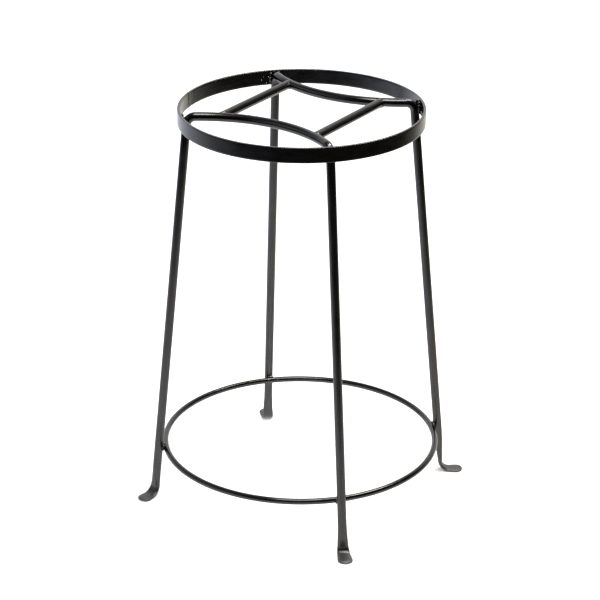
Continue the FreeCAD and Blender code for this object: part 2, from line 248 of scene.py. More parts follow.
def frames_along(points, first_across, last_across, twist_from, twist_to):
    """Across, upright and length at each point, with the leftover turn spread over the middle."""
    tangents = np.gradient(points, axis=0)
    tangents /= np.linalg.norm(tangents, axis=1)[:, None]
    across = [first_across]
    for tangent in tangents[1:]:
        a = across[-1] - tangent * (across[-1] @ tangent)
        across.append(unit(a))
    across = np.array(across)
    steps = np.linalg.norm(np.diff(points, axis=0), axis=1)
    length = np.concatenate([[0], np.cumsum(steps)])
    end, tangent = across[-1], tangents[-1]
    turn = math.atan2(np.cross(end, last_across) @ tangent, end @ last_across)
    angle = turn * smooth((length - twist_from) / (length[-1] - twist_to - twist_from))
    upright = np.cross(tangents, across)
    turned = across * np.cos(angle)[:, None] + upright * np.sin(angle)[:, None]
    return turned, np.cross(tangents, turned), length


def section_ring(around, width, thickness, power):
    """Superellipse: power 2 is an ellipse, and a higher one is squarer."""
    angle = np.arange(around) * 2 * math.pi / around
    c, s = np.cos(angle), np.sin(angle)
    exponent = 2 / power
    x = np.sign(c) * np.abs(c) ** exponent * width / 2
    y = np.sign(s) * np.abs(s) ** exponent * thickness / 2
    return x, y


# Forged feet: distance from the toe's tip, width, thickness and squareness.

TOE_RUN = FOOT_LENGTH - FOOT_BEND_SETBACK
BEND_RUN = 13.0


def foot_table(stretch):
    round_bar = 2 * BAR_RADIUS
    bend_end = TOE_RUN + BEND_RUN
    return np.array([
        (0.0, 19.3, 3.6, 3.4),
        (TOE_RUN * 0.45, 18.6, 3.8, 3.4),
        (TOE_RUN, 16.4, 4.0, 3.2),
        (TOE_RUN + BEND_RUN * 0.5, 15.2, 4.5, 3.0),
        (bend_end, 14.1, 5.4, 2.8),
        (bend_end + 10 * stretch, 12.7, 7.1, 2.5),
        (bend_end + 23 * stretch, 11.6, 9.4, 2.2),
        (bend_end + 42 * stretch, round_bar, round_bar, 2.0),
        (bend_end + 60 * stretch, round_bar, round_bar, 2.0),
    ])


def follow_table(table, distance):
    """Smooth values of a table's columns at distances along it."""
    keys = table[:, 0]
    columns = []
    for column in table[:, 1:].T:
        slopes = np.gradient(column, keys)
        slopes[-2:] = 0
        i = np.clip(np.searchsorted(keys, distance) - 1, 0, len(keys) - 2)
        span = keys[i + 1] - keys[i]
        t = np.clip((distance - keys[i]) / span, 0, 1)
        value = (
            (2 * t**3 - 3 * t**2 + 1) * column[i]
            + (t**3 - 2 * t**2 + t) * span * slopes[i]
            + (-2 * t**3 + 3 * t**2) * column[i + 1]
            + (t**3 - t**2) * span * slopes[i + 1]
        )
        columns.append(np.where(distance >= keys[-1], column[-1], value))
    return columns


def leg_bar_points(side):
    """Centreline of a whole leg bar, from toe tip to toe tip."""
    first, last = side - LEG_PAIR_ANGLE / 2, side + LEG_PAIR_ANGLE / 2
    middle = outward(side) * RAIL_CENTRE_OUT + UP * RAIL_HEIGHT
    halves = []
    rail_ends = []
    for azimuth in (first, last):
        out, down = along_toe(azimuth), down_leg(azimuth)
        foot = on_leg(azimuth, TOE_THICKNESS / 2 - SOLE_FLAT)
        corner = on_leg(azimuth, RAIL_HEIGHT)
        spoke = corner - middle
        inward = -outward(side)
        turn = math.atan(TOP_BEND_SETBACK / RAIL_RADIUS)
        turn = turn if np.cross(spoke, inward)[2] > 0 else -turn
        c, s = math.cos(turn), math.sin(turn)
        spoke = vec(c * spoke[0] - s * spoke[1], s * spoke[0] + c * spoke[1], 0)
        rail_end = middle + unit(spoke) * RAIL_RADIUS
        back = unit(rail_end - corner)
        theta = np.linspace(TIP_START, math.pi / 2, 12)
        tip = [foot + out * (FOOT_LENGTH - TOE_ROUND * (1 - math.cos(t))) for t in theta]
        setback = FOOT_BEND_EASED.get(corner_at(azimuth), FOOT_BEND_SETBACK)
        toe_end = foot + out * setback
        foot_bend = fillet(foot, out, -down, setback, 0.8)
        top_bend = fillet(corner, down, back, TOP_BEND_SETBACK, 0.8)
        forged = foot_bend[-1] - down * FINE_ABOVE_FOOT
        halves.append(join(
            tip,
            straight(tip[-1], toe_end, 1.0),
            foot_bend,
            straight(foot_bend[-1], forged, 1.3),
            straight(forged, top_bend[0], 4.0),
            top_bend,
        ))
        rail_ends.append(rail_end)
    start, end = rail_ends[0] - middle, rail_ends[1] - middle
    sweep = math.acos(np.clip(unit(start) @ unit(end), -1, 1))
    count = int(RAIL_RADIUS * sweep / 2.0)
    rail = [middle + swing(start, end, sweep, i / count) for i in range(count + 1)]
    return join(halves[0], rail, halves[1][::-1])


BAND_MIDDLE = STAND_HEIGHT - BAND_HEIGHT / 2
BAND_WELD_AT = {corner: azimuth_on_leg(azimuth, BAND_MIDDLE) for corner, azimuth in AZIMUTHS.items()}
RING_WELD_AT = {corner: azimuth_on_leg(azimuth, RING_HEIGHT) for corner, azimuth in AZIMUTHS.items()}
RING_TOUCH = RING_RADIUS + RING_ROD_RADIUS + ROOT_GAP / 2


def weld_spots():
    spots = [polar(BAND_INNER - 3, azimuth, BAND_MIDDLE) for azimuth in BAND_WELD_AT.values()]
    spots += [polar(RING_TOUCH, azimuth, RING_HEIGHT) for azimuth in RING_WELD_AT.values()]
    rail_y = RAIL_CENTRE_OUT - math.sqrt(RAIL_RADIUS**2 - CROSSBAR_OFFSET**2) - BAR_RADIUS
    for sx in (-1, 1):
        for sy in (-1, 1):
            spots.append(vec(sx * CROSSBAR_OFFSET, sy * rail_y, RAIL_HEIGHT))
    return spots


WELD_SPOTS = weld_spots()


def heat_near_welds(vertices, reach=11.0):
    """1 at a weld, falling to 0 away from it."""
    heat = np.zeros(len(vertices))
    for spot in WELD_SPOTS:
        distance = np.linalg.norm(vertices - spot, axis=1)
        heat = np.maximum(heat, np.exp(-((distance / reach) ** 2)))
    return heat


# Where looks end along a leg bar, in mm from a toe's tip, and how long each takes to fade.
FLARE_END, FLARE_FADE = 34, 30
TOE_WEAR_END, TOE_WEAR_FADE = 30, 12
TIP_WEAR_END, TIP_WEAR_FADE = 2.5, 2.5
HAMMERED_END, HAMMERED_FADE = 95, 60
BEATEN_END, BEATEN_FADE = 42, 24
SATIN_END, SATIN_FADE = 515, 30
SATIN_FROM_RAIL, SATIN_RAIL_FADE = 110, 60
GENTLE_END = 24
FLOOR_END = 60

# Marks in the metal: how far apart they are and how deep, in mm.
DENT_SPACING, DENT_DEPTH = 5.5, 0.22
PIT_SPACING, PIT_DEPTH = 2.4, 0.07
ROLL_SPACING, ROLL_DEPTH = 2.0, 0.05


def fading(distance, end, over):
    """1 near a toe's tip and 0 from end on, with the change over the last stretch."""
    return smooth((end - distance) / over)


def make_leg_bar(name, side, stretches, seed):
    points = leg_bar_points(side)
    first, last = side - LEG_PAIR_ANGLE / 2, side + LEG_PAIR_ANGLE / 2
    first_across = np.cross(UP, along_toe(first))
    last_across = -np.cross(UP, along_toe(last))
    across, upright, length = frames_along(points, first_across, last_across, TWIST_FREE, TWIST_FREE)
    total = length[-1]
    around = AROUND_BAR
    near_first = length < total / 2
    distance = np.where(near_first, length, total - length) + TOE_ROUND * (1 - math.cos(TIP_START))
    width, thickness, power = follow_table(foot_table(stretches[0]), distance)
    other = follow_table(foot_table(stretches[1]), distance)
    width = np.where(near_first, width, other[0])
    thickness = np.where(near_first, thickness, other[1])
    power = np.where(near_first, power, other[2])
    in_round = np.clip((TOE_ROUND - distance) / TOE_ROUND, 0, 1)
    round_off = np.sqrt(1 - in_round**2)
    width = width * np.maximum(round_off, 0.05)
    thickness = thickness * (0.55 + 0.45 * smooth(round_off * 1.25))
    flare = 0.5 * fading(distance, FLARE_END, FLARE_FADE) * np.where(near_first, 1, -1)
    vertices, straightened, wear = [], [], []
    for i, point in enumerate(points):
        x, y = section_ring(around, width[i], thickness[i], power[i])
        centre = point + across[i] * flare[i]
        vertices.append(centre + np.outer(x, across[i]) + np.outer(y, upright[i]))
        straightened.append(np.column_stack([np.full(around, length[i]), x, y]))
        rim = np.hypot(x / max(width[i] / 2, 0.1), y / max(thickness[i] / 2, 0.1)) - 1.0
        toe = fading(distance[i], TOE_WEAR_END, TOE_WEAR_FADE)
        tip = fading(distance[i], TIP_WEAR_END, TIP_WEAR_FADE)
        wear.append(np.clip(rim * 2.2, 0, 1) * toe + 0.8 * toe * tip)
    vertices = np.concatenate(vertices)
    straightened = np.concatenate(straightened)
    wear = np.concatenate(wear)
    station = np.repeat(distance, around)
    normals = vertices - np.repeat(points, around, axis=0)
    normals /= np.linalg.norm(normals, axis=1)[:, None] + 1e-9
    hammered = fading(station, HAMMERED_END, HAMMERED_FADE)
    dents = wobble(vertices, DENT_SPACING, seed) * DENT_DEPTH
    marks = dents + wobble(vertices, PIT_SPACING, seed + 3) * PIT_DEPTH
    rolled = wobble(straightened * vec(0.05, 0.5, 0.5), ROLL_SPACING, seed + 7) * ROLL_DEPTH
    amount = hammered * marks * np.where(station < GENTLE_END, 0.6, 1.0) + rolled
    vertices = vertices + normals * amount[:, None]
    low = station < FLOOR_END
    vertices[low, 2] = np.maximum(vertices[low, 2], 0.0)
    off_rail = smooth((np.max(station) - station - SATIN_FROM_RAIL) / SATIN_RAIL_FADE)
    attributes = {
        "bar": straightened * MM,
        "wear": wear,
        "forged": fading(station, BEATEN_END, BEATEN_FADE),
        "satin": off_rail * fading(station, SATIN_END, SATIN_FADE),
        "heat": heat_near_welds(vertices),
    }
    return make_object(name, vertices, skin(len(points), around), attributes)


def make_hoop(name, profile, radius, seam, gap, segments, height, seed, bumps, wear_at):
    """A profile, as offsets outward and upward, carried round a circle with a gap at its seam."""
    around = len(profile)
    half_gap = math.degrees(gap / 2 / radius)
    azimuths = np.radians(np.linspace(seam + half_gap, seam + 360 - half_gap, segments + 1))
    cosines, sines = np.cos(azimuths), np.sin(azimuths)
    offsets = np.tile(profile, (len(azimuths), 1))
    r = radius + offsets[:, 0]
    c, s = np.repeat(cosines, around), np.repeat(sines, around)
    vertices = np.column_stack([r * c, r * s, height + offsets[:, 1]])
    normals = np.tile(profile_normals(profile), (len(azimuths), 1))
    broad, broad_depth, close, close_depth = bumps
    ripple = wobble(vertices, broad, seed) * broad_depth + wobble(vertices, close, seed + 2) * close_depth
    vertices[:, 0] += normals[:, 0] * c * ripple
    vertices[:, 1] += normals[:, 0] * s * ripple
    vertices[:, 2] += normals[:, 1] * ripple
    straightened = np.column_stack([np.repeat(azimuths, around) * radius, offsets])
    attributes = {
        "bar": straightened * MM,
        "wear": np.tile(wear_at, len(azimuths)),
        "heat": heat_near_welds(vertices),
    }
    return make_object(name, vertices, skin(len(azimuths), around), attributes)


def profile_normals(profile):
    ahead = np.roll(profile, -1, axis=0) - np.roll(profile, 1, axis=0)
    normals = np.column_stack([ahead[:, 1], -ahead[:, 0]])
    return normals / np.linalg.norm(normals, axis=1)[:, None]


def flat_bar_profile(thickness, height, radius):
    """Rounded rectangle, anticlockwise from the top of the outer face."""
    half_t, half_h = thickness / 2, height / 2
    steps = 9
    points = []
    corners = ((1, 1, 0), (-1, 1, 90), (-1, -1, 180), (1, -1, 270))
    for cx, cy, start in corners:
        for i in range(5):
            a = math.radians(start + i * 22.5)
            x = cx * (half_t - radius) + radius * math.cos(a)
            y = cy * (half_h - radius) + radius * math.sin(a)
            points.append((x, y))
        if (cx, cy) in ((-1, 1), (1, -1)):
            y0, y1 = (half_h - radius) * cy, -(half_h - radius) * cy
            points += [(cx * half_t, y0 + (y1 - y0) * i / steps) for i in range(1, steps)]
    return np.array(points)


def make_band():
    profile = flat_bar_profile(BAND_THICKNESS, BAND_HEIGHT, 0.55)
    middle = BAND_RADIUS - BAND_THICKNESS / 2
    edge = np.abs(profile[:, 1]) > BAND_HEIGHT / 2 - 0.6
    wear = np.where(edge, 1.0, 0.0)
    bumps = (38.0, 0.10, 9.0, 0.035)
    return make_hoop("band", profile, middle, BAND_SEAM, BUTT_GAP, BAND_STEPS, BAND_MIDDLE, 4, bumps, wear)


def make_ring():
    angle = np.arange(AROUND_ROD) * 2 * math.pi / AROUND_ROD
    radius = RING_ROD_RADIUS - 0.12
    profile = np.column_stack([np.cos(angle), np.sin(angle)]) * radius
    bumps = (26.0, 0.06, 7.0, 0.03)
    wear = np.zeros(AROUND_ROD)
    return make_hoop(
        "tie_ring", profile, RING_RADIUS, RING_SEAM, BUTT_GAP, RING_STEPS, RING_HEIGHT, 9, bumps, wear
    )


def rail_surface_y(x, rise):
    """Distance of the rail's inner surface from the crosswise middle, above a place along a rail."""
    reach = RAIL_RADIUS + np.sqrt(np.maximum(BAR_RADIUS**2 - rise**2, 0))
    return RAIL_CENTRE_OUT - np.sqrt(reach**2 - x**2)


def make_crossbar(name, side, seed):
    around, rows = AROUND_BAR, 76
    x, z = section_ring(around, 2 * BAR_RADIUS, 2 * BAR_RADIUS, 2.0)
    end = rail_surface_y(side * CROSSBAR_OFFSET + x, z) + 0.25
    vertices, straightened = [], []
    for i in range(rows + 1):
        t = 1 - 2 * i / rows
        vertices.append(np.column_stack([side * CROSSBAR_OFFSET + x, t * end, RAIL_HEIGHT + z]))
        straightened.append(np.column_stack([t * end, x, z]))
    vertices, straightened = np.concatenate(vertices), np.concatenate(straightened)
    normals = np.column_stack([straightened[:, 1], np.zeros(len(vertices)), straightened[:, 2]]) / BAR_RADIUS
    rolled = wobble(straightened * vec(0.08, 0.5, 0.5), 2.0, seed) * 0.06
    vertices = vertices + normals * np.minimum(rolled, 0.0)[:, None]
    attributes = {
        "bar": straightened * MM,
        "wear": np.zeros(len(vertices)),
        "heat": heat_near_welds(vertices),
    }
    return make_object(name, vertices, skin(rows + 1, around), attributes)


# Welds. A bead is a row of overlapping puddles, melted together, with a few drops of spatter round it.

def ball():
    bm = bmesh.new()
    bmesh.ops.create_icosphere(bm, subdivisions=2, radius=1.0)
    vertices = np.array([v.co[:] for v in bm.verts])
    faces = [[v.index for v in f.verts] for f in bm.faces]
    bm.free()
    return vertices, faces


BALL = ball()


def heap(puddles):
    """Vertices and faces of ellipsoids: each is a centre, three half sizes and three axes."""
    vertices, faces = [], []
    for centre, sizes, axes in puddles:
        base = sum(len(v) for v in vertices)
        vertices.append(centre + (BALL[0] * sizes) @ np.array(axes))
        faces += [[base + k for k in face] for face in BALL[1]]
    return np.concatenate(vertices), faces


def melt(name, puddles, spatter, seed, voxel=0.42):
    """One skin over the puddles, rippled, with the drops of spatter added as they are."""
    vertices, faces = heap(puddles)
    raw = make_object(name + "_raw", vertices, faces)
    remesh = raw.modifiers.new("melt", "REMESH")
    remesh.mode = "VOXEL"
    remesh.voxel_size = voxel * MM
    soften = raw.modifiers.new("soften", "SMOOTH")
    soften.factor = 0.5
    soften.iterations = 3
    depsgraph = bpy.context.evaluated_depsgraph_get()
    melted = bpy.data.meshes.new_from_object(raw.evaluated_get(depsgraph))
    vertices = np.array([v.co[:] for v in melted.vertices]) / MM
    normals = np.array([v.normal[:] for v in melted.vertices])
    faces = [list(p.vertices) for p in melted.polygons]
    bpy.data.objects.remove(raw)
    ripple = wobble(vertices, 1.6, seed) * 0.12 + wobble(vertices, 0.8, seed + 5) * 0.05
    vertices = vertices + normals * ripple[:, None]
    base = len(vertices)
    if spatter:
        drops, drop_faces = heap(spatter)
        vertices = np.concatenate([vertices, drops])
        faces += [[base + k for k in face] for face in drop_faces]
    shine = (np.arange(len(vertices)) >= base).astype(float)
    return make_object(name, vertices, faces, {"bar": vertices * MM, "shine": shine})


class Dice:
    """The same sequence of small jitters each run."""

    def __init__(self, seed):
        self.draw = np.random.RandomState(seed)

    def about(self, spread, size=None):
        return self.draw.uniform(-spread, spread, size)


def radial_axes(azimuth):
    out = outward(azimuth)
    return (out, np.cross(UP, out), UP)


def make_band_weld(corner, seed):
    azimuth = BAND_WELD_AT[corner]
    dice = Dice(seed)
    axes = radial_axes(azimuth)
    out, across, _ = axes
    puddles = []
    for side in (-1, 1):
        for i in range(7):
            height = -6.3 + i * 2.1 + dice.about(0.25)
            sideways = side * (BAR_RADIUS - 0.2 + dice.about(0.35))
            leg_r = leg_radius(BAND_MIDDLE + height)
            radius = max(leg_r + 2.1, BAND_INNER - 2.2) + dice.about(0.2)
            place = out * radius + across * sideways + UP * (BAND_MIDDLE + height)
            half = vec(2.2, 2.3, 1.75) * (1 + dice.about(0.1))
            puddles.append((place, half, axes))
    for i in range(3):
        height = BAND_MIDDLE - 6.8 + dice.about(0.3)
        place = out * (BAND_INNER - 1.6) + across * (-2.6 + 2.6 * i) + UP * height
        puddles.append((place, vec(1.9, 2.2, 1.6), axes))
    spatter = []
    for _ in range(9):
        angle = dice.about(5.5) / BAND_INNER + math.copysign(11.5 / BAND_INNER, dice.about(1.0))
        place = polar(BAND_INNER - 0.05, azimuth + math.degrees(angle), BAND_MIDDLE + dice.about(8.0))
        half = 0.4 + 0.5 * dice.draw.uniform()
        spatter.append((place, vec(half * 0.75, half, half), axes))
    return melt(f"{corner}_band_bead", puddles, spatter, seed)


def make_ring_weld(corner, seed, tall=1.0, wide=1.0):
    azimuth = RING_WELD_AT[corner]
    dice = Dice(seed)
    axes = radial_axes(azimuth)
    out, across, _ = axes
    puddles = [(out * RING_TOUCH + UP * RING_HEIGHT, vec(2.8, 4.8 * wide, 3.6 * tall), axes)]
    for i in range(7):
        t = -1 + i / 3
        for side in (-1, 1):
            place = out * (RING_TOUCH + dice.about(0.4)) + across * (t * 4.4 * wide)
            place = place + UP * (RING_HEIGHT + side * (1.9 + 1.6 * tall * (1 - t * t)) + dice.about(0.3))
            puddles.append((place, vec(2.0, 1.7, 1.55) * (1 + dice.about(0.12)), axes))
    spatter = []
    for _ in range(7):
        turn = math.radians(130 + dice.draw.uniform() * 100)
        place = azimuth + math.degrees(dice.about(11.0) / RING_RADIUS)
        rod = outward(place) * (RING_RADIUS + (RING_ROD_RADIUS - 0.05) * math.cos(turn))
        rod = rod + UP * (RING_HEIGHT + (RING_ROD_RADIUS - 0.05) * math.sin(turn))
        half = 0.3 + 0.25 * dice.draw.uniform()
        spatter.append((rod, vec(half, half, half), axes))
    return melt(f"{corner}_ring_bead", puddles, spatter, seed)


def make_crossbar_weld(corner, seed):
    sx = 1 if corner.endswith("right") else -1
    sy = 1 if corner.startswith("rear") else -1
    dice = Dice(seed)
    axes = (vec(1, 0, 0), vec(0, 1, 0), UP)
    puddles = []
    count = 20
    for i in range(count):
        angle = 2 * math.pi * i / count
        top = smooth(math.sin(angle) + 0.2)
        reach = BAR_RADIUS - 0.55 - 0.75 * top + dice.about(0.14) * (1 - top)
        x, z = math.cos(angle) * reach, math.sin(angle) * reach
        surface = float(rail_surface_y(sx * CROSSBAR_OFFSET + x, min(max(z, -5.3), 5.3)))
        place = vec(sx * CROSSBAR_OFFSET + x, sy * (surface - 0.55 - 0.3 * top), RAIL_HEIGHT + z)
        half = vec(1.6, 2.3 + 1.1 * top, 1.5) * (1 + dice.about(0.08) * (1 - top))
        puddles.append((place, half, axes))
    spatter = []
    for _ in range(5):
        angle = math.radians(190 + dice.draw.uniform() * 160)
        surface = float(rail_surface_y(sx * CROSSBAR_OFFSET, 0.0))
        y = sy * (surface - 4.5 - dice.draw.uniform() * 6)
        place = vec(sx * CROSSBAR_OFFSET, y, RAIL_HEIGHT)
        place = place + vec(math.cos(angle), 0, math.sin(angle)) * (BAR_RADIUS - 0.05)
        half = 0.3 + 0.25 * dice.draw.uniform()
        spatter.append((place, vec(half, half, half), axes))
    return melt(f"{corner}_crossbar_bead", puddles, spatter, seed)


def make_band_butt_weld():
    axes = radial_axes(BAND_SEAM)
    dice = Dice(71)
    puddles = []
    for i in range(10):
        height = BAND_BOTTOM + 1.35 + i * (BAND_HEIGHT - 2.7) / 9
        place = polar(BAND_INNER + 1.45, BAND_SEAM, height) + axes[1] * dice.about(0.15)
        puddles.append((place, vec(1.75, 1.25, 1.35), axes))
    return melt("band_seam_bead", puddles, [], 71, 0.36)


def make_ring_butt_weld():
    axes = radial_axes(RING_SEAM)
    dice = Dice(83)
    puddles = [(polar(RING_RADIUS, RING_SEAM, RING_HEIGHT), vec(3.0, 1.5, 3.0), axes)]
    for i in range(9):
        angle = 2 * math.pi * i / 9
        place = polar(RING_RADIUS + 1.55 * math.cos(angle), RING_SEAM, RING_HEIGHT + 1.75 * math.sin(angle))
        puddles.append((place + axes[1] * dice.about(0.12), vec(1.45, 1.3, 1.6), axes))
    return melt("ring_seam_bead", puddles, [], 83, 0.36)


# Materials.

class Nodes:
    """Builds the nodes of a new material or of the world."""

    def __init__(self, owner):
        owner.use_nodes = True
        self.tree = owner.node_tree
        self.tree.nodes.clear()

    def add(self, kind, settings=None, **inputs):
        node = self.tree.nodes.new(kind)
        for key, value in (settings or {}).items():
            setattr(node, key, value)
        for key, value in inputs.items():
            socket = node.inputs[int(key[1:])] if key[0] == "_" else node.inputs[key.replace("_", " ")]
            if isinstance(value, bpy.types.NodeSocket):
                self.tree.links.new(value, socket)
            else:
                socket.default_value = value
        return node

    def carried(self, name, output="Fac"):
        """What the mesh carries under this name."""
        return self.add("ShaderNodeAttribute", {"attribute_name": name}).outputs[output]

    def noise(self, where, stretch, detail, roughness=0.55):
        spread = self.add("ShaderNodeMapping", Vector=where, Scale=stretch)
        return self.add(
            "ShaderNodeTexNoise", Vector=spread.outputs[0], Scale=1.0, Detail=detail, Roughness=roughness
        ).outputs[0]

    def span(self, value, low, high, to_low=0.0, to_high=1.0):
        return self.add(
            "ShaderNodeMapRange", _0=value, _1=low, _2=high, _3=to_low, _4=to_high
        ).outputs[0]

    def math(self, operation, a, b):
        return self.add("ShaderNodeMath", {"operation": operation}, _0=a, _1=b).outputs[0]

    def mix(self, factor, a, b, blend="MIX"):
        return self.add(
            "ShaderNodeMix", {"data_type": "RGBA", "blend_type": blend}, _0=factor, _6=a, _7=b
        ).outputs[2]

    def part_along(self, place, direction):
        return self.add(
            "ShaderNodeVectorMath", {"operation": "DOT_PRODUCT"}, _0=place, _1=tuple(direction)
        ).outputs["Value"]

    def bump(self, strength, distance, height, under=None):
        below = {} if under is None else {"Normal": under}
        return self.add(
            "ShaderNodeBump", Strength=strength, Distance=distance, Height=height, **below
        ).outputs[0]


def grey(value, warm=0.0):
    return (value * (1 + warm), value, value * (1 - warm), 1.0)


BEATEN_GREY = grey(0.15, 0.02)
WORN_GREY = grey(0.36, 0.03)
DULL_STEEL = grey(0.5, 0.02)
BRIGHT_STEEL = grey(0.7, 0.01)


def make_iron(name, dark, light, rough):
    """Drawn along the bar, darker where a weld has heated it, and duller where it's beaten or handled."""
    material = bpy.data.materials.new(name)
    n = Nodes(material)
    where = n.carried("bar", "Vector")
    wear, heat = n.carried("wear"), n.carried("heat")
    forged, satin = n.carried("forged"), n.carried("satin")
    streaks = n.noise(where, (55.0, 1500.0, 1500.0), 5.0)
    scratches = n.noise(where, (22.0, 3800.0, 3800.0), 2.0, 0.5)
    clouds = n.noise(where, (38.0, 120.0, 120.0), 4.0)
    grain = n.noise(where, (1900.0, 1900.0, 1900.0), 3.0)
    hue = n.noise(where, (17.0, 60.0, 60.0), 2.0)
    tone = n.math("ADD", n.span(streaks, 0.3, 0.7, 0.0, 0.55), n.span(clouds, 0.32, 0.68, 0.0, 0.45))
    metal = n.mix(tone, grey(dark, -0.05), grey(light, 0.02))
    tint = n.mix(n.span(hue, 0.4, 0.65, 0.0, 0.5), metal, grey((dark + light) * 0.5, 0.14))
    burnt = n.mix(n.span(heat, 0.1, 0.9, 0.0, 0.55), tint, grey(dark * 0.45, 0.1))
    worn_at = n.math("MULTIPLY", wear, n.span(streaks, 0.35, 0.6, 0.25, 1.0))
    strokes = n.noise(where, (900.0, 240.0, 240.0), 3.0, 0.6)
    beaten_at = n.math("MULTIPLY", forged, n.span(strokes, 0.35, 0.65, 0.45, 1.0))
    beaten = n.mix(beaten_at, burnt, BEATEN_GREY)
    colour = n.mix(n.math("MULTIPLY", worn_at, 0.25), beaten, WORN_GREY)
    uneven = n.math("ADD", n.math("MULTIPLY", clouds, 0.6), n.math("MULTIPLY", grain, 0.4))
    base = n.span(uneven, 0.3, 0.7, rough - 0.05, rough + 0.07)
    handled = n.math("ADD", base, n.math("MULTIPLY", satin, 0.09))
    burnt_rough = n.math("ADD", handled, n.span(heat, 0.1, 0.9, 0.0, 0.12))
    beaten_rough = n.math("ADD", burnt_rough, n.math("MULTIPLY", forged, 0.2))
    struck = n.bump(0.6, 0.00012, n.math("MULTIPLY", strokes, forged))
    scratched = n.bump(0.4, 0.00003, scratches, struck)
    streaked = n.bump(0.4, 0.00006, streaks, scratched)
    grainy = n.bump(0.4, 0.000012, grain, streaked)
    shader = n.add(
        "ShaderNodeBsdfPrincipled", Base_Color=colour, Metallic=1.0, Roughness=beaten_rough, Normal=grainy
    )
    n.add("ShaderNodeOutputMaterial", Surface=shader.outputs[0])
    return material


def make_weld_metal():
    """Rippled beads with bright patches and glinting spatter."""
    material = bpy.data.materials.new("weld_metal")
    n = Nodes(material)
    where, shine = n.carried("bar", "Vector"), n.carried("shine")
    ripples = n.noise(where, (620.0, 620.0, 620.0), 4.0)
    grain = n.noise(where, (2600.0, 2600.0, 2600.0), 2.0)
    spots = n.noise(where, (300.0, 300.0, 300.0), 2.0)
    metal = n.mix(n.span(ripples, 0.35, 0.65), grey(0.035, -0.04), grey(0.11, 0.05))
    patchy = n.mix(n.span(spots, 0.56, 0.7, 0.0, 0.85), metal, DULL_STEEL)
    glint_at = n.math("MULTIPLY", shine, n.span(grain, 0.2, 0.6, 0.5, 1.0))
    glint = n.mix(glint_at, patchy, BRIGHT_STEEL)
    rough = n.math("SUBTRACT", n.span(ripples, 0.3, 0.7, 0.2, 0.4), n.math("MULTIPLY", shine, 0.05))
    rippled = n.bump(0.7, 0.0003, ripples, n.bump(0.5, 0.00008, grain))
    shader = n.add(
        "ShaderNodeBsdfPrincipled", Base_Color=glint, Metallic=1.0, Roughness=rough, Normal=rippled
    )
    n.add("ShaderNodeOutputMaterial", Surface=shader.outputs[0])
    return material


# The stand.

bar_iron = make_iron("bar_iron", 0.055, 0.105, 0.185)
flat_iron = make_iron("flat_iron", 0.055, 0.1, 0.22)
weld_metal = make_weld_metal()


def place(thing, material, slot, node):
    thing.data.materials.append(material)
    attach(thing, "root")
    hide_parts(node)


place(make_band(), flat_iron, "bar_iron", "top_band")
place(make_ring(), bar_iron, "bar_iron", "lower_ring")
place(make_leg_bar("front_bar", FRONT, (0.72, 1.0), 1), bar_iron, "bar_iron", "front_leg_bar")
place(make_leg_bar("rear_bar", REAR, (1.2, 1.0), 2), bar_iron, "bar_iron", "rear_leg_bar")
place(make_crossbar("crossbar_left", -1, 5), bar_iron, "bar_iron", "left_crossbar")
place(make_crossbar("crossbar_right", 1, 6), bar_iron, "bar_iron", "right_crossbar")
place(make_band_butt_weld(), weld_metal, "weld_metal", "band_butt_weld")
place(make_ring_butt_weld(), weld_metal, "weld_metal", "ring_butt_weld")
RING_WELD_SHAPE = {"front_left": (1.5, 1.0), "rear_right": (1.1, 1.2)}
for number, corner in enumerate(AZIMUTHS):
    place(make_band_weld(corner, 11 + number), weld_metal, "weld_metal", f"{corner}_band_weld")
    tall, wide = RING_WELD_SHAPE.get(corner, (1.0, 1.0))
    bead = make_ring_weld(corner, 31 + number, tall, wide)
    place(bead, weld_metal, "weld_metal", f"{corner}_ring_weld")
    place(make_crossbar_weld(corner, 51 + number), weld_metal, "weld_metal", f"{corner}_crossbar_weld")


# Camera: at the photograph's viewing angle.

VIEW_TURN = math.radians(32.3)
CAMERA_DISTANCE = 2.57583
CAMERA_HEIGHT = 1.38430
CAMERA_PITCH = 0.410835
CAMERA_YAW = -0.000375
CAMERA_ROLL = 0.0045086
LENS = 132.694


def make_camera():
    camera = bpy.data.objects.new("camera", bpy.data.cameras.new("camera"))
    bpy.context.collection.objects.link(camera)
    ahead = vec(
        math.sin(CAMERA_YAW) * math.cos(CAMERA_PITCH),
        math.cos(CAMERA_YAW) * math.cos(CAMERA_PITCH),
        -math.sin(CAMERA_PITCH),
    )
    level = vec(math.cos(CAMERA_YAW), -math.sin(CAMERA_YAW), 0)
    above = np.cross(level, ahead)
    right = level * math.cos(CAMERA_ROLL) + above * math.sin(CAMERA_ROLL)
    top = above * math.cos(CAMERA_ROLL) - level * math.sin(CAMERA_ROLL)
    axes = Matrix([right, top, -ahead]).transposed().to_4x4()
    axes.translation = Vector((0, -CAMERA_DISTANCE, CAMERA_HEIGHT))
    camera.matrix_world = Matrix.Rotation(VIEW_TURN, 4, "Z") @ axes
    camera.data.lens = LENS
    camera.data.sensor_width = 36.0
    camera.data.clip_end = 60.0
    bpy.context.scene.camera = camera


make_camera()


# Floor and studio light. Floor and room look white. What the bars mirror is set apart from that: for glossy
# rays the floor glows with a painted reflection, a pool of bright floor that fades to dark, lit by no lamp,
# and the room is bright behind the stand, half bright on the left and dim elsewhere.

TOWARDS_CAMERA = vec(math.sin(VIEW_TURN), -math.cos(VIEW_TURN), 0)
TO_THE_RIGHT = vec(math.cos(VIEW_TURN), math.sin(VIEW_TURN), 0)
